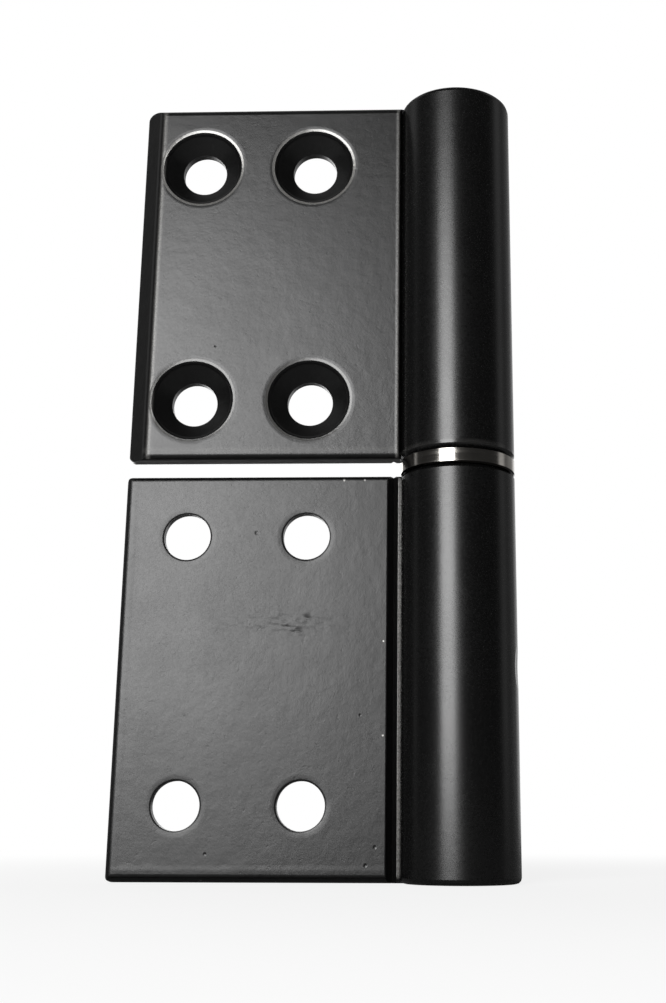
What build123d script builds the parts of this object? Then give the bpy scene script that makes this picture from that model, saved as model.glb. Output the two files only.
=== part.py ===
from build123d import *

import os
from math import cos, radians, sin, sqrt, tan

# Lift-off flag hinge: two flag-shaped leaves on one pin, with a turned ring between them.
#
# Frame: +Z runs up the hinge line, and the origin is on that line at the lower end of the
# lower knuckle. The leaves are folded together as one flag, towards -X. The lower leaf shows
# its mounting face to -Y. The upper leaf is the same leaf turned over, so it shows its
# countersinks to -Y. All sizes are in millimetres.

# Knuckle, the round part of each leaf
knuckle_d = 17.3
knuckle_end_round = 0.8  # rim of the closed, outer end
knuckle_end_steps = 3  # short cones that make up this round
knuckle_mouth_chamfer = 0.6  # rim of the inner end, beside the ring
bore_mouth_chamfer = 0.6
drill_point_angle = 118.0  # both bores are blind and end in a drill point

# Pin, pressed into the lower knuckle and free in the upper one
pin_d = 10.0
pin_seat_depth = 44.0  # inside the lower knuckle
pin_reach = 41.0  # inside the upper knuckle
pin_foot_chamfer = 0.8
pin_nose_length = 3.0  # tapered lead that helps the upper leaf onto the pin
pin_nose_narrowing = 1.0
pin_clearance = 0.05  # radial, in the upper knuckle
pin_end_gap = 2.0  # over the pin, so that the upper leaf rides on the ring

# Ring between the knuckles
ring_thickness = 2.4
ring_clearance = 0.1  # radial, around the pin
ring_edge_chamfer = 0.2  # outer edges

# Flag plate of each leaf
leaf_height = 59.1
leaf_reach = 50.2  # hinge line to the outer edge
plate_thickness = 3.8
mounting_offset = 1.2  # hinge line to the plane of the mounting face
plate_root = 2.0  # how far the plate runs into the knuckle's wall
bevel_width = 3.0  # along the outer edge, on the countersunk side
bevel_depth = 2.2
bevel_edge_round = 1.2  # between the bevel and the countersunk face
corner_round = 1.1  # seen square on to the plate
outer_edge_round = 0.95  # between the outer edge and the mounting face
bevel_foot_round = 0.5  # between the outer edge and the bevel
closed_end_round = 1.2  # edges beside the knuckle's closed end
open_end_round = 0.8  # edges beside the ring

# Relief grooves between the plate's faces and the knuckle
mounting_shoulder = 0.25  # narrow ledge that is left beside the knuckle
mounting_relief_width = 1.55
mounting_relief_depth = 1.5
screw_shoulder = 0.15  # knuckle's surface to the edge of the countersunk face
screw_relief_depth = 0.9
shoulder_round = 0.2
relief_edge_round = 0.35

# Screw holes, two columns and two rows in each leaf
hole_d = 7.0
countersink_d = 13.4  # at the face, with the rim
countersink_angle = 100.0
countersink_rim_width = 0.4  # eased at half the cone's slope
hole_from_knuckle = 14.0  # knuckle's surface to the inner column
hole_from_edge = 9.65  # plate's outer edge to the outer column
hole_from_closed_end = 10.5
hole_from_open_end = 9.4

# Shallow dent on the side of the lower knuckle
dent_depth = 0.36
dent_radius = 15.0
dent_height = 30.0
dent_turn = -8.0  # degrees from +X, towards the mounting side

# Sizes that follow
knuckle_r = knuckle_d / 2
pin_r = pin_d / 2
ring_bottom = leaf_height
ring_top = ring_bottom + ring_thickness
hinge_height = ring_top + leaf_height
mounting_y = -mounting_offset
screw_y = plate_thickness - mounting_offset
root_x = -(knuckle_r - plate_root)
inner_column_x = -(knuckle_r + hole_from_knuckle)
outer_column_x = -(leaf_reach - hole_from_edge)
column_spacing = inner_column_x - outer_column_x
row_spacing = leaf_height - hole_from_closed_end - hole_from_open_end
pattern_centre = (
    (inner_column_x + outer_column_x) / 2,
    mounting_y,
    hole_from_closed_end + row_spacing / 2,
)


def drawn_section():
    """Corners of the plate's section, each with its rounding, from the root round the outer edge."""
    shoulder_x = -(knuckle_r + mounting_shoulder)
    relief_y = screw_y - screw_relief_depth
    return [
        ((root_x, mounting_y), 0),
        ((shoulder_x, mounting_y), shoulder_round),
        ((shoulder_x - mounting_relief_width / 2, mounting_y + mounting_relief_depth), 0),
        ((shoulder_x - mounting_relief_width, mounting_y), relief_edge_round),
        ((-leaf_reach, mounting_y), outer_edge_round),
        ((-leaf_reach, screw_y - bevel_depth), bevel_foot_round),
        ((-leaf_reach + bevel_width, screw_y), bevel_edge_round),
        ((-(knuckle_r + screw_shoulder), screw_y), relief_edge_round),
        # This relief is a wedge between its own sloping wall and the knuckle's curve.
        ((-sqrt(knuckle_r**2 - relief_y**2), relief_y), 0),
        ((root_x, relief_y), 0),
    ]


def screw_hole():
    """The room that one countersunk hole takes, its axis on Z and the mounting face at z = 0."""
    hole_r = hole_d / 2
    face_r = countersink_d / 2
    cone_r = face_r - countersink_rim_width
    cone_slope = radians(90 - countersink_angle / 2)
    cone_z = plate_thickness - countersink_rim_width * tan(cone_slope / 2)
    land_z = cone_z - (cone_r - hole_r) * tan(cone_slope)

    with BuildPart() as room:
        with BuildSketch(Plane.XZ):
            with BuildLine():
                Polyline(
                    (0, 0),
                    (hole_r, 0),
                    (hole_r, land_z),
                    (cone_r, cone_z),
                    (face_r, plate_thickness),
                    (0, plate_thickness),
                    close=True,
                )
            make_face()
        revolve(axis=Axis.Z)
    return room.part


def flag_plate():
    """The plate alone: what its drawn section and its front and side outlines have in common."""
    section = drawn_section()
    hole = screw_hole()

    with BuildPart() as plate:
        with BuildSketch(Plane.XY):
            with BuildLine():
                FilletPolyline(
                    [corner for corner, rounding in section],
                    radius=[rounding for corner, rounding in section],
                    close=True,
                )
            make_face()
        extrude(amount=leaf_height)

        with BuildSketch(Plane.XZ) as front:
            with Locations((-leaf_reach, 0)):
                Rectangle(leaf_reach, leaf_height, align=(Align.MIN, Align.MIN))
            fillet(front.vertices().group_by(Axis.X)[0], corner_round)
        extrude(amount=plate_thickness, both=True, mode=Mode.INTERSECT)

        with BuildSketch(Plane.YZ) as side:
            with Locations((mounting_y, 0)):
                Rectangle(plate_thickness, leaf_height, align=(Align.MIN, Align.MIN))
            fillet(side.vertices().group_by(Axis.Y)[0], closed_end_round)
            fillet(side.vertices().group_by(Axis.Y)[-1], open_end_round)
        extrude(amount=-leaf_reach, mode=Mode.INTERSECT)

        with Locations(Plane(origin=pattern_centre, x_dir=(1, 0, 0), z_dir=(0, 1, 0))):
            with GridLocations(column_spacing, row_spacing, 2, 2):
                add(hole, mode=Mode.SUBTRACT)
    return plate.part


def closed_end_points():
    """Points of the knuckle's closed end, as radius and height, from its flat to its side."""
    turns = [radians(90 * step / knuckle_end_steps) for step in range(knuckle_end_steps + 1)]
    flat_r = knuckle_r - knuckle_end_round
    return [
        (flat_r + knuckle_end_round * sin(turn), knuckle_end_round * (1 - cos(turn)))
        for turn in turns
    ]


def leaf(bore_r, bore_depth):
    """One leaf: knuckle and plate in one piece, its closed end at z = 0 and its mouth on top."""
    plate = flag_plate()
    drill_point = bore_r / tan(radians(drill_point_angle / 2))

    with BuildPart() as whole:
        with BuildSketch(Plane.XZ):
            with BuildLine():
                Polyline(
                    (0, 0),
                    *closed_end_points(),
                    (knuckle_r, leaf_height - knuckle_mouth_chamfer),
                    (knuckle_r - knuckle_mouth_chamfer, leaf_height),
                    (0, leaf_height),
                    close=True,
                )
            make_face()
        revolve(axis=Axis.Z)
        add(plate)
        with BuildSketch(Plane.XZ):
            with BuildLine():
                Polyline(
                    (0, leaf_height),
                    (bore_r + bore_mouth_chamfer, leaf_height),
                    (bore_r, leaf_height - bore_mouth_chamfer),
                    (bore_r, leaf_height - bore_depth),
                    (0, leaf_height - bore_depth - drill_point),
                    close=True,
                )
            make_face()
        revolve(axis=Axis.Z, mode=Mode.SUBTRACT)
    return whole.part


# Lower leaf, with its dent
lower_blank = leaf(pin_r, pin_seat_depth)
dent_reach = knuckle_r - dent_depth + dent_radius
dent_centre = (
    dent_reach * cos(radians(dent_turn)),
    dent_reach * sin(radians(dent_turn)),
    dent_height,
)
with BuildPart() as lower_leaf:
    add(lower_blank)
    with Locations(dent_centre):
        Sphere(dent_radius, mode=Mode.SUBTRACT)

# Upper leaf, the same leaf turned over about X
upper_blank = leaf(pin_r + pin_clearance, pin_reach + pin_end_gap)
with BuildPart() as upper_leaf:
    with Locations(Location((0, 0, hinge_height), (180, 0, 0))):
        add(upper_blank)

# Pin
pin_bottom = leaf_height - pin_seat_depth
pin_top = ring_top + pin_reach
with BuildPart() as hinge_pin:
    with BuildSketch(Plane.XZ):
        with BuildLine():
            Polyline(
                (0, pin_bottom),
                (pin_r - pin_foot_chamfer, pin_bottom),
                (pin_r, pin_bottom + pin_foot_chamfer),
                (pin_r, pin_top - pin_nose_length),
                (pin_r - pin_nose_narrowing, pin_top),
                (0, pin_top),
                close=True,
            )
        make_face()
    revolve(axis=Axis.Z)

# Ring
with BuildPart() as spacer_ring:
    with BuildSketch(Plane.XY.offset(ring_bottom)):
        Circle(knuckle_r)
        Circle(pin_r + ring_clearance, mode=Mode.SUBTRACT)
    extrude(amount=ring_thickness)
    rings = spacer_ring.edges().filter_by(GeomType.CIRCLE).sort_by(SortBy.RADIUS)
    chamfer(rings[-2:], ring_edge_chamfer)

lower_leaf.part.label = "lower_leaf"
upper_leaf.part.label = "upper_leaf"
hinge_pin.part.label = "hinge_pin"
spacer_ring.part.label = "spacer_ring"

os.makedirs("parts", exist_ok=True)
export_step(lower_leaf.part, "parts/lower_leaf.step")
export_step(upper_leaf.part, "parts/upper_leaf.step")
export_step(hinge_pin.part, "parts/hinge_pin.step")
export_step(spacer_ring.part, "parts/spacer_ring.step")

print("hinge height", hinge_height, "hole columns", inner_column_x, outer_column_x)
print("row spacing", row_spacing, "pattern centre", pattern_centre)
print("pin from", pin_bottom, "to", pin_top)
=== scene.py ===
import math

import bpy
from mathutils import Matrix, Vector

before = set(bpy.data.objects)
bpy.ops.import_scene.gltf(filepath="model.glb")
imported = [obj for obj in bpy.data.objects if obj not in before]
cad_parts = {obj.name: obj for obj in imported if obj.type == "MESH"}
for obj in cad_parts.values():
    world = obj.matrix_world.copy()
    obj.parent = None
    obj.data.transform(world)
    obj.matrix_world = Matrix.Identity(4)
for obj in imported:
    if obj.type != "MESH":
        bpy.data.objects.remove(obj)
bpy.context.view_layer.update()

# Camera, fitted to the photograph: place in metres, turns in degrees, distances in its pixels
IMAGE_WIDTH = 666
IMAGE_HEIGHT = 1003
CAMERA_PLACE = Vector((-0.00178, -0.18960, 0.00801))
CAMERA_YAW = 1.65
CAMERA_PITCH = 14.41
CAMERA_ROLL = -0.14
FOCAL_PIXELS = 1292.3
OPTICAL_CENTRE = (409.7, 492.5)
SENSOR = 36.0  # millimetres
CLIP_START = 0.005

# Softboxes, all at one distance in metres from the place that they face. Each has its degrees
# left of -Y and above the horizon, its half width and half height in degrees, and its radiance.
LAMP_TARGET = Vector((0.0, -0.0012, 0.060))
LAMP_DISTANCE = 0.70
LAMPS = {
    "key": (21.0, 12.8, 13.2, 15.8, 11.2),  # large, to the left of the camera
    "back": (162.0, 14.0, 13.2, 15.8, 2.5),  # for the sides that the photograph doesn't show
    "fill": (5.0, 3.0, 6.0, 7.0, 1.8),  # small and weak, beside the camera
}

# Brightness of the room by direction, from straight in front (0) to straight behind (1)
ROOM = (
    (0.00, 0.03),
    (0.35, 0.025),
    (0.48, 0.035),
    (0.54, 0.42),
    (0.61, 0.42),
    (0.68, 0.10),
    (0.82, 0.22),
)
BACKDROP = (0.7, 0.97)  # share of +Y in a direction, over which gloss comes to see white

# Floor, in metres
FLOOR_SIZE = 6.0
FLOOR_DROP = 0.00005
FLOOR_FADE = (0.03, 0.22)  # distance from the hinge over which it goes to plain white
FLOOR_WHITENESS = 0.84  # beside the hinge, where the floor is painted greyer as a painted contact shadow and its real shadow also shows
FLOOR_BACKDROP = (0.4, 1.2)  # behind the hinge, over which gloss comes to see white
PAPER = 0.85
PAPER_IN_GLOSS = 0.28

# Leaf, in millimetres in its own frame: the closed end at z = 0 and the mounting face towards -Y.
# The upper leaf is this one turned over about X.
HINGE_HEIGHT = 120.6
LEAF_HEIGHT = 59.1
PLATE_ENDS = (-9.0, -8.7)  # along X
KNUCKLE_STARTS = (-8.8, -8.6)  # along X
SCREW_FACE_STARTS = (2.0, 2.3)  # along Y
MOUNTING_FACE_ENDS = (-1.15, -1.0)  # along Y
BORE_ENDS = (5.55, 5.65)  # from the axis, with its mouth's chamfer; inside it the steel is bare
BORE_STARTS = (5.0, 8.0)  # along Z
HOLE_COLUMNS = (-31.6, 8.95)  # middle, and half the spacing
HOLE_ROWS = (30.1, 19.6)
CONE_RADIUS = 6.3
RIM_RADIUS = 6.7
LIP_STARTS = (CONE_RADIUS - 0.02, CONE_RADIUS + 0.04)
LIP_ENDS = (RIM_RADIUS - 0.08, RIM_RADIUS + 0.04)

# Lines along the edges of a leaf, each as its place and half its width
OUTER_EDGE = (-46.9, 0.55)  # between the bevel and the screw face
SCREW_ROOT = (-9.15, 0.4)
MOUNTING_ROOT = (-8.78, 0.3)
OPEN_END = (LEAF_HEIGHT - 1.4, 0.7)
MOUTH = (LEAF_HEIGHT - 0.8, 0.6)
OUTER_BEAD = (-48.8, 0.7)  # on the mounting face, as the next one
CLOSED_BEAD = (1.7, 0.8)

# Scale of the coat's noises, in features per millimetre
GRAIN_SCALE = 3.0
PEEL_SCALE = 0.55
SPECK_SCALE = 1.3
WEAR_SCALE = 3.5
CLOUD_SCALE = 0.06

# Height of the coat in millimetres. Four numbers are two places and the heights at them.
GRAIN_HEIGHT = 0.009
PEEL_HEIGHT = 0.028
SPECKS = (0.66, 0.74, 0.0, -0.005)  # by noise
TEXTURE_ON_KNUCKLE = 0.3  # share of these three that is left there
ROOT_HEIGHT = 0.02
BEAD_HEIGHT = 0.015
PIT_DEPTH = 0.05
OUTER_ROLL = (-47.0, -46.0, -0.02, 0.0)
OPEN_ROLL = (LEAF_HEIGHT - 1.6, LEAF_HEIGHT - 0.4, 0.0, -0.03)
LIP_ROLL = (CONE_RADIUS, RIM_RADIUS, 0.12, 0.0)
COLLAR_ROLL = (6.2, 7.2, 0.0, 0.075)
PLAIN_HOLE_ROLLS = ((3.2, 3.8, 0.0, 0.14), (2.9, 4.5, 0.0, 0.07))

# Wear along the lines: two levels of noise, and the shares of bare metal at them
WEAR = {
    "outer_edge": (0.30, 0.70, 0.14, 0.24),
    "open_end": (0.30, 0.70, 0.03, 0.06),
    "screw_root": (0.30, 0.70, 0.10, 0.25),
    "mounting_root": (0.35, 0.65, 0.35, 0.80),
}
LIP_SHEEN = (15.0, 45.0, 0.38, 0.11)  # by height on the leaf: lighter, metallic countersink lips, partly wear and partly a painted highlight of the rim's rounding, stronger towards the closed end
# lighter, metallic band at the upper knuckle's mouth: a painted reflection of the ring's highlight
MOUTH_SHEEN = 0.03
MOST_WEAR_AND_SHEEN = 0.9

# Roughness of the coat, and what is added to it in places
LOWER_ROUGHNESS = 0.345
UPPER_ROUGHNESS = 0.33
KNUCKLE_ROUGHNESS = 0.265
BARE_ROUGHNESS = 0.28
GRAIN_ROUGHNESS = 0.02  # either way
CLOUDS = (0.35, 0.65, -0.01, 0.02)  # by noise
LIP_POLISH = -0.14
MOUTH_POLISH = -0.08
RUBBED_DULLNESS = 0.30

# Colours
BLACK = 0.0035
# bare metal of the wear, also used for the painted highlight on the countersink lips and the knuckle's
# mouth
WEAR_AND_SHEEN_COLOUR = (0.50, 0.49, 0.47, 1.0)
BARE = (0.42, 0.41, 0.40, 1.0)
# painted dark ends of the turned metals: painted shade on the ring's end chamfers, darker ends on the
# pin
DARK_END_COLOUR = (0.03, 0.028, 0.026, 1.0)

# Marks, as place in millimetres and radius: pits and chipped spots of each leaf
LOWER_PITS = (
    ((-30.1, -1.2, 50.3), 0.45),
    ((-12.0, -1.2, 4.9), 0.35),
    ((-13.3, -1.2, 2.4), 0.35),
    ((-14.3, -1.2, 23.3), 0.25),
    ((-36.0, -1.2, 3.9), 0.30),
)
LOWER_CHIPS = (
    ((-17.1, -1.1, 58.4), 0.30),
    ((-14.0, -1.1, 58.4), 0.25),
    ((-11.0, -1.2, 34.0), 0.22),
    ((-11.0, -1.2, 20.4), 0.22),
    ((-36.5, -0.6, 0.5), 0.35),
)
UPPER_PITS = (((-37.3, -2.6, 79.6), 0.25),)
UPPER_CHIPS = (
    ((-35.0, -2.3, 62.3), 0.35),
    ((-32.4, -2.3, 62.3), 0.30),
)

# Rubbed patch on the lower leaf, as place and half size along X and Z, and its deepest scuffs
RUBBED_X = (-25.0, 13.0)
RUBBED_Z = (36.9, 2.6)
LIGHT_STREAKS = (0.50, 0.60, 0.0, 0.3)  # by noise, as the next one
DEEP_STREAKS = (0.42, 0.54)
SCUFFS = (
    ((-22.4, -1.2, 37.4), 1.1),
    ((-23.8, -1.2, 35.5), 1.3),
    ((-25.4, -1.2, 36.4), 0.9),
)

# Turned metals: colour, roughness, lines in each millimetre, and the two heights between which they
# keep their colour; past them they are painted darker, as painted shade on the ring's end chamfers and
# darker ends on the pin
PIN_STEEL = {
    "colour": (0.56, 0.55, 0.53),
    "roughness": 0.24,
    "lines": 9.0,
    "plain_between": (15.5, 102.4),
}
RING_METAL = {
    "colour": (0.62, 0.59, 0.55),
    "roughness": 0.13,
    "lines": 7.0,
    "plain_between": (59.35, 61.25),
}
TURNED_HEIGHT = 0.003  # of these lines, in millimetres
DARK_END_EDGE = 0.05  # half the height over which the metal turns to its painted dark ends


def grey(value):
    return (value, value, value, 1.0)


def direction_to(left, height):
    """Unit vector towards a lamp that stands left of -Y by some degrees, and up by some more."""
    side = math.radians(left)
    up = math.radians(height)
    return Vector((-math.sin(side) * math.cos(up), -math.cos(side) * math.cos(up), math.sin(up)))


def add_softbox(name, left, height, half_width, half_height, radiance):
    """An area lamp that faces the hinge and fills the given half angles, seen from there."""
    direction = direction_to(left, height)
    lamp = bpy.data.lights.new(name, "AREA")
    lamp.shape = "RECTANGLE"
    lamp.size = 2 * LAMP_DISTANCE * math.tan(math.radians(half_width))
    lamp.size_y = 2 * LAMP_DISTANCE * math.tan(math.radians(half_height))
    lamp.energy = math.pi * radiance * lamp.size * lamp.size_y
    holder = bpy.data.objects.new(name, lamp)
    holder.location = LAMP_TARGET + direction * LAMP_DISTANCE
    holder.rotation_euler = direction.to_track_quat("Z", "Y").to_euler()
    holder.visible_camera = False
    bpy.context.scene.collection.objects.link(holder)


def add_camera():
    """The photograph's viewpoint, with its frame set beside the optical axis as the photograph's is."""
    turn = (
        Matrix.Rotation(math.radians(CAMERA_YAW), 3, "Z")
        @ Matrix.Rotation(math.radians(CAMERA_PITCH), 3, "X")
        @ Matrix.Rotation(math.radians(CAMERA_ROLL), 3, "Y")
    )
    right, forward, up = turn.col
    axes = Matrix((right, up, -forward)).transposed().to_4x4()
    data = bpy.data.cameras.new("camera")
    data.sensor_width = SENSOR
    data.lens = FOCAL_PIXELS * SENSOR / IMAGE_HEIGHT
    data.shift_x = (IMAGE_WIDTH / 2 - OPTICAL_CENTRE[0]) / IMAGE_HEIGHT
    data.shift_y = (OPTICAL_CENTRE[1] - IMAGE_HEIGHT / 2) / IMAGE_HEIGHT
    data.clip_start = CLIP_START
    camera = bpy.data.objects.new("camera", data)
    camera.matrix_world = Matrix.Translation(CAMERA_PLACE) @ axes
    bpy.context.scene.collection.objects.link(camera)
    bpy.context.scene.camera = camera


class Shader:
    """A node tree with short calls for the nodes that these materials need."""

    def __init__(self, tree):
        self.tree = tree
        tree.nodes.clear()

    def add(self, kind, inputs=None, **settings):
        """A node of that kind. An input that is a socket is linked, and any other is set."""
        made = self.tree.nodes.new(kind)
        for name, value in settings.items():
            setattr(made, name, value)
        for key, value in (inputs or {}).items():
            if isinstance(value, bpy.types.NodeSocket):
                self.tree.links.new(value, made.inputs[key])
            else:
                made.inputs[key].default_value = value
        return made

    def maths(self, operation, first, second=0.0):
        return self.add("ShaderNodeMath", {0: first, 1: second}, operation=operation).outputs[0]

    def plus(self, *terms):
        total = terms[0]
        for term in terms[1:]:
            total = self.maths("ADD", total, term)
        return total

    def times(self, *terms):
        product = terms[0]
        for term in terms[1:]:
            product = self.maths("MULTIPLY", product, term)
        return product

    def vector(self, operation, first, second):
        return self.add(
            "ShaderNodeVectorMath", {0: first, 1: second}, operation=operation
        ).outputs[0]

    def length(self, first):
        return self.add("ShaderNodeVectorMath", {0: first}, operation="LENGTH").outputs["Value"]

    def parts(self, vector):
        return self.add("ShaderNodeSeparateXYZ", {0: vector}).outputs

    def noise(self, place, scale, detail=2.0, roughness=0.5):
        """Noise from 0 to 1, its scale in features per millimetre."""
        return self.add(
            "ShaderNodeTexNoise",
            {"Vector": place, "Scale": scale, "Detail": detail, "Roughness": roughness},
        ).outputs[0]

    def between(self, value, low, high, out_low=0.0, out_high=1.0, kind="SMOOTHSTEP"):
        """The value moved from one range to another and kept inside it, as a rule with soft ends."""
        return self.add(
            "ShaderNodeMapRange",
            {"Value": value, "From Min": low, "From Max": high, "To Min": out_low, "To Max": out_high},
            interpolation_type=kind,
        ).outputs[0]

    def below(self, value, low, high):
        """1 up to the low end, falling to 0 at the high end."""
        return self.between(value, low, high, 1.0, 0.0)

    def ridge(self, value, centre, half_width):
        """1 where the value is at the centre, falling to 0 at the half width."""
        away = self.maths("ABSOLUTE", self.maths("SUBTRACT", value, centre))
        return self.below(away, 0.0, half_width)

    def blend(self, factor, first, second):
        """A mix of two colours."""
        return self.add(
            "ShaderNodeMix", {0: factor, 6: first, 7: second}, data_type="RGBA"
        ).outputs[2]

    def millimetres(self):
        """The point's place on its part at rest."""
        place = self.add("ShaderNodeTexCoord").outputs["Object"]
        return self.vector("MULTIPLY", place, (1000, 1000, 1000))

    def surface(self, colour, metallic, roughness, relief):
        """The material's surface. The relief is a height in millimetres."""
        bump = self.add("ShaderNodeBump", {"Strength": 1.0, "Distance": 0.001, "Height": relief})
        made = self.add(
            "ShaderNodeBsdfPrincipled",
            {
                "Base Color": colour,
                "Metallic": metallic,
                "Roughness": roughness,
                "IOR": 1.5,
                "Normal": bump.outputs[0],
            },
        )
        self.add("ShaderNodeOutputMaterial", {"Surface": made.outputs[0]})


def new_material(name):
    """A material, and the shader that fills it."""
    material = bpy.data.materials.new(name)
    material.use_nodes = True
    return material, Shader(material.node_tree)


class Leaf:
    """Places on a leaf in millimetres, and masks for its parts, as nodes of a shader."""

    def __init__(self, shader, turned_over):
        self.shader = shader
        self.place = shader.millimetres()
        own = self.place
        if turned_over:
            own = shader.vector("MULTIPLY", own, (1, -1, -1))
            own = shader.vector("ADD", own, (0, 0, HINGE_HEIGHT))
        self.x, self.y, self.z = shader.parts(own)
        self.from_axis = shader.length(shader.vector("MULTIPLY", self.place, (1, 1, 0)))
        self.from_hole = self.hole_distance()
        self.on_plate = shader.below(self.x, *PLATE_ENDS)
        self.on_knuckle = shader.between(self.x, *KNUCKLE_STARTS)
        self.screw_side = shader.between(self.y, *SCREW_FACE_STARTS)
        self.mounting_side = shader.below(self.y, *MOUNTING_FACE_ENDS)

    def hole_distance(self):
        """Distance from the nearest screw hole's axis: the four holes are folded on to one."""
        folded = {"X": self.folded(self.x, *HOLE_COLUMNS), "Z": self.folded(self.z, *HOLE_ROWS)}
        return self.shader.length(self.shader.add("ShaderNodeCombineXYZ", folded).outputs[0])

    def folded(self, value, middle, half_spacing):
        """Place beside the nearer of two centres that lie either side of the middle."""
        side = self.shader.maths("ABSOLUTE", self.shader.maths("SUBTRACT", value, middle))
        return self.shader.maths("SUBTRACT", side, half_spacing)

    def edge_lines(self):
        """Masks by name, each 1 on its line."""
        shader = self.shader
        return {
            "outer_edge": shader.times(self.screw_side, shader.ridge(self.x, *OUTER_EDGE)),
            "open_end": shader.times(
                self.screw_side, self.on_plate, shader.ridge(self.z, *OPEN_END)
            ),
            "screw_root": shader.times(self.screw_side, shader.ridge(self.x, *SCREW_ROOT)),
            "mounting_root": shader.times(self.mounting_side, shader.ridge(self.x, *MOUNTING_ROOT)),
        }

    def lip(self):
        """1 on the eased rim of each countersink."""
        return self.shader.times(
            self.screw_side,
            self.shader.between(self.from_hole, *LIP_STARTS),
            self.shader.below(self.from_hole, *LIP_ENDS),
        )

    def bore(self):
        """1 in the bore and on the chamfer of its mouth."""
        return self.shader.times(
            self.shader.below(self.from_axis, *BORE_ENDS),
            self.shader.between(self.z, *BORE_STARTS),
        )

    def spots(self, marks):
        """1 at the middle of each mark, falling to 0 at its radius."""
        shader = self.shader
        return shader.plus(
            *[
                shader.below(shader.length(shader.vector("SUBTRACT", self.place, centre)), 0.0, radius)
                for centre, radius in marks
            ]
        )


def edge_relief(leaf):
    """How the coat rolls over the edges of the plate, as height in millimetres."""
    shader = leaf.shader
    screw = shader.plus(
        shader.between(leaf.x, *OUTER_ROLL),
        shader.between(leaf.z, *OPEN_ROLL),
    )
    mounting = shader.plus(
        shader.ridge(leaf.x, *OUTER_BEAD),
        shader.ridge(leaf.z, *CLOSED_BEAD),
    )
    return shader.times(
        leaf.on_plate,
        shader.plus(
            shader.times(leaf.screw_side, screw),
            shader.times(leaf.mounting_side, mounting, BEAD_HEIGHT),
        ),
    )


def hole_relief(leaf):
    """How the coat runs over the edges of the screw holes, as height in millimetres."""
    shader = leaf.shader
    countersunk = shader.plus(
        shader.between(leaf.from_hole, *LIP_ROLL, kind="LINEAR"),
        shader.between(leaf.from_hole, *COLLAR_ROLL),
    )
    plain = shader.plus(*[shader.between(leaf.from_hole, *roll) for roll in PLAIN_HOLE_ROLLS])
    return shader.times(
        leaf.on_plate,
        shader.plus(
            shader.times(leaf.screw_side, countersunk),
            shader.times(leaf.mounting_side, plain),
        ),
    )


def coat_relief(leaf, grain, lines, pits):
    """Height of the coat in millimetres: its texture, its roll over the edges, and its pits."""
    shader = leaf.shader
    texture = shader.plus(
        shader.times(grain, GRAIN_HEIGHT),
        shader.times(shader.noise(leaf.place, PEEL_SCALE), PEEL_HEIGHT),
        shader.between(shader.noise(leaf.place, SPECK_SCALE), *SPECKS),
    )
    roots = shader.plus(lines["screw_root"], lines["mounting_root"])
    return shader.plus(
        shader.times(texture, shader.between(leaf.on_knuckle, 0.0, 1.0, 1.0, TEXTURE_ON_KNUCKLE)),
        shader.times(roots, ROOT_HEIGHT),
        edge_relief(leaf),
        hole_relief(leaf),
        shader.times(leaf.spots(pits), -PIT_DEPTH),
    )


def coat_wear_and_lip_sheen(leaf, lines, lip, chips):
    """Share of the surface where the coat has worn or chipped away, plus the painted highlight of the
    countersink lips.
    """
    shader = leaf.shader
    speckle = shader.noise(leaf.place, WEAR_SCALE, detail=1.0)
    return shader.plus(
        *[shader.times(lines[name], shader.between(speckle, *WEAR[name])) for name in WEAR],
        shader.times(lip, shader.between(leaf.z, *LIP_SHEEN)),
        leaf.spots(chips),
    )


def coat_roughness(leaf, grain, lip, roughness):
    """Roughness of the coat round its general value."""
    shader = leaf.shader
    clouds = shader.noise(leaf.place, CLOUD_SCALE, detail=3.0, roughness=0.6)
    low, high = roughness - GRAIN_ROUGHNESS, roughness + GRAIN_ROUGHNESS
    return shader.plus(
        shader.between(grain, 0.25, 0.75, low, high),
        shader.between(clouds, *CLOUDS),
        shader.times(leaf.on_knuckle, KNUCKLE_ROUGHNESS - roughness),
        shader.times(lip, LIP_POLISH),
    )


def rubbed_patch(leaf):
    """How dull the lower leaf's mounting face is where something has rubbed across it."""
    shader = leaf.shader
    streaks = shader.noise(shader.vector("MULTIPLY", leaf.place, (0.7, 1.0, 2.2)), 1.0, detail=5.0)
    light = shader.times(
        shader.ridge(leaf.x, *RUBBED_X),
        shader.ridge(leaf.z, *RUBBED_Z),
        shader.between(streaks, *LIGHT_STREAKS),
    )
    deep = shader.times(leaf.spots(SCUFFS), shader.between(streaks, *DEEP_STREAKS))
    return shader.times(leaf.mounting_side, shader.plus(light, deep))


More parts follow.
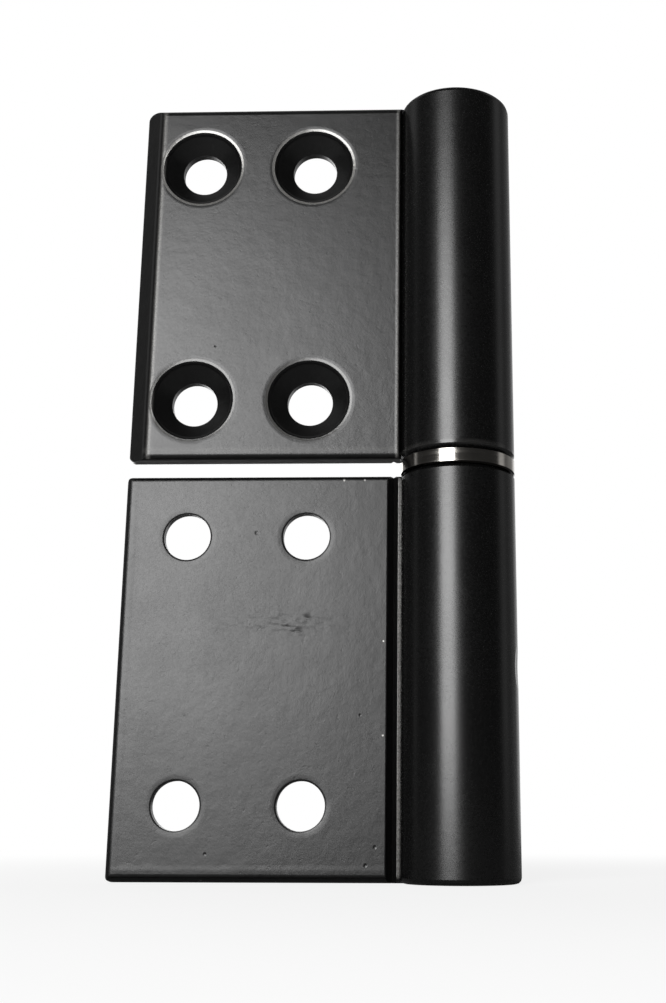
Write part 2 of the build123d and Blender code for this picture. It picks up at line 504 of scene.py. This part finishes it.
def leaf_coat(name, turned_over, roughness, pits, chips):
    """Satin powder coat with its wear and marks, painted highlights on the countersink lips and the
    upper knuckle's mouth, and bare steel in the bore.
    """
    material, shader = new_material(name)
    leaf = Leaf(shader, turned_over)
    grain = shader.noise(leaf.place, GRAIN_SCALE, detail=3.0, roughness=0.6)
    lines = leaf.edge_lines()
    lip = leaf.lip()
    relief = coat_relief(leaf, grain, lines, pits)
    wear_and_sheen = coat_wear_and_lip_sheen(leaf, lines, lip, chips)
    rough = coat_roughness(leaf, grain, lip, roughness)
    paint = shader.blend(shader.between(grain, 0.3, 0.7), grey(BLACK * 0.7), grey(BLACK * 1.3))
    if turned_over:
        # at the mouth: smoother coat, and a lighter metallic band that is a painted reflection of the
        # ring's highlight
        mouth = shader.times(leaf.on_knuckle, shader.ridge(leaf.z, *MOUTH))
        wear_and_sheen = shader.plus(wear_and_sheen, shader.times(mouth, MOUTH_SHEEN))
        rough = shader.plus(rough, shader.times(mouth, MOUTH_POLISH))
    else:
        dull = rubbed_patch(leaf)
        rough = shader.plus(rough, shader.times(dull, RUBBED_DULLNESS))
        paint = shader.blend(dull, paint, grey(BLACK * 2))

    bare = leaf.bore()
    coated = shader.maths("SUBTRACT", 1.0, bare)
    wear_and_sheen = shader.maths("MINIMUM", wear_and_sheen, MOST_WEAR_AND_SHEEN)
    shader.surface(
        colour=shader.blend(bare, shader.blend(wear_and_sheen, paint, WEAR_AND_SHEEN_COLOUR), BARE),
        metallic=shader.maths("MAXIMUM", bare, wear_and_sheen),
        roughness=shader.plus(shader.times(rough, coated), shader.times(bare, BARE_ROUGHNESS)),
        relief=relief,
    )
    return material


def turned_metal(name, colour, roughness, lines, plain_between):
    """Bare metal with the fine rings that a lathe or a grinding wheel leaves round the axis.

    Between the two given heights it keeps its colour, and past them it is painted darker: painted shade
    on the ring's end chamfers, and darker ends on the pin.
    """
    material, shader = new_material(name)
    place = shader.millimetres()
    stretched = shader.vector("MULTIPLY", place, (0.05, 0.05, lines))
    rings = shader.noise(stretched, 1.0, detail=3.0, roughness=0.6)
    stain = shader.noise(place, 0.35, detail=3.0)
    dark = tuple(0.8 * part for part in colour)
    metal = shader.blend(shader.between(stain, 0.3, 0.7), (*dark, 1.0), (*colour, 1.0))

    height = shader.parts(place)["Z"]
    bottom, top = plain_between
    # painted dark ends past the two heights: painted shade on the ring's end chamfers, darker ends on
    # the pin
    dark_ends = shader.maths(
        "MAXIMUM",
        shader.below(height, bottom - DARK_END_EDGE, bottom + DARK_END_EDGE),
        shader.between(height, top - DARK_END_EDGE, top + DARK_END_EDGE),
    )
    shader.surface(
        colour=shader.blend(dark_ends, metal, DARK_END_COLOUR),
        metallic=1.0,
        roughness=shader.between(rings, 0.3, 0.7, roughness - 0.03, roughness + 0.05),
        relief=shader.times(rings, TURNED_HEIGHT),
    )
    return material


def dress(node, material):
    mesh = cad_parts[node].data
    mesh.materials.clear()
    mesh.materials.append(material)


def floor_material():
    """Pale paper, painted greyer near the hinge as a painted contact shadow on which its real shadow
    also shows, blending into the white background.
    """
    material, shader = new_material("floor")
    place = shader.add("ShaderNodeTexCoord").outputs["Object"]
    rays = shader.add("ShaderNodeLightPath").outputs
    # greyer near the hinge, whiter far away: a painted contact shadow
    whiteness = shader.between(shader.length(place), *FLOOR_FADE, FLOOR_WHITENESS, 1.0)
    seen = shader.times(rays["Is Camera Ray"], whiteness)
    mirrored = shader.times(
        shader.maths("MAXIMUM", rays["Is Glossy Ray"], rays["Is Transmission Ray"]),
        shader.between(shader.parts(place)["Y"], *FLOOR_BACKDROP),
    )
    shade = shader.blend(rays["Is Glossy Ray"], grey(PAPER), grey(PAPER_IN_GLOSS))
    paper = shader.add("ShaderNodeBsdfDiffuse", {"Color": shade})
    white = shader.add("ShaderNodeEmission", {"Color": grey(1.0), "Strength": 1.0})
    mixed = shader.add(
        "ShaderNodeMixShader",
        {0: shader.maths("MAXIMUM", seen, mirrored), 1: paper.outputs[0], 2: white.outputs[0]},
    )
    shader.add("ShaderNodeOutputMaterial", {"Surface": mixed.outputs[0]})
    return material


def add_floor():
    """A plain floor at the hinge's lower end."""
    half = FLOOR_SIZE / 2
    mesh = bpy.data.meshes.new("floor")
    corners = [(-half, -half, 0), (half, -half, 0), (half, half, 0), (-half, half, 0)]
    mesh.from_pydata(corners, [], [(0, 1, 2, 3)])
    mesh.materials.append(floor_material())
    floor = bpy.data.objects.new("floor", mesh)
    floor.location.z = -FLOOR_DROP
    bpy.context.scene.collection.objects.link(floor)


def set_world():
    """White to the camera, and to gloss and glass straight behind the hinge; a dim room elsewhere."""
    world = bpy.data.worlds.new("studio")
    bpy.context.scene.world = world
    world.use_nodes = True
    shader = Shader(world.node_tree)
    direction = shader.add("ShaderNodeTexCoord").outputs["Generated"]
    behind = shader.parts(direction)["Y"]
    ramp = shader.add("ShaderNodeValToRGB", {0: shader.plus(shader.times(behind, 0.5), 0.5)})
    stops = ramp.color_ramp.elements
    while len(stops) < len(ROOM):
        stops.new(1.0)
    for stop, (where, level) in zip(stops, ROOM):
        stop.position = where
        stop.color = grey(level)
    rays = shader.add("ShaderNodeLightPath").outputs
    through = shader.maths("MAXIMUM", rays["Is Glossy Ray"], rays["Is Transmission Ray"])
    backdrop = shader.times(through, shader.between(behind, *BACKDROP))
    white = shader.maths("MAXIMUM", rays["Is Camera Ray"], backdrop)
    dim = shader.add("ShaderNodeBackground", {"Color": ramp.outputs[0], "Strength": 1.0})
    bright = shader.add("ShaderNodeBackground", {"Color": grey(1.0), "Strength": 1.0})
    mixed = shader.add("ShaderNodeMixShader", {0: white, 1: dim.outputs[0], 2: bright.outputs[0]})
    shader.add("ShaderNodeOutputWorld", {"Surface": mixed.outputs[0]})


dress("lower_leaf", leaf_coat("lower_coat", False, LOWER_ROUGHNESS, LOWER_PITS, LOWER_CHIPS))
dress("upper_leaf", leaf_coat("upper_coat", True, UPPER_ROUGHNESS, UPPER_PITS, UPPER_CHIPS))
dress("hinge_pin", turned_metal("pin_steel", **PIN_STEEL))
dress("spacer_ring", turned_metal("ring_metal", **RING_METAL))

add_floor()
set_world()
for lamp_name, lamp_values in LAMPS.items():
    add_softbox(lamp_name, *lamp_values)
add_camera()

scene = bpy.context.scene
scene.view_settings.view_transform = "Standard"
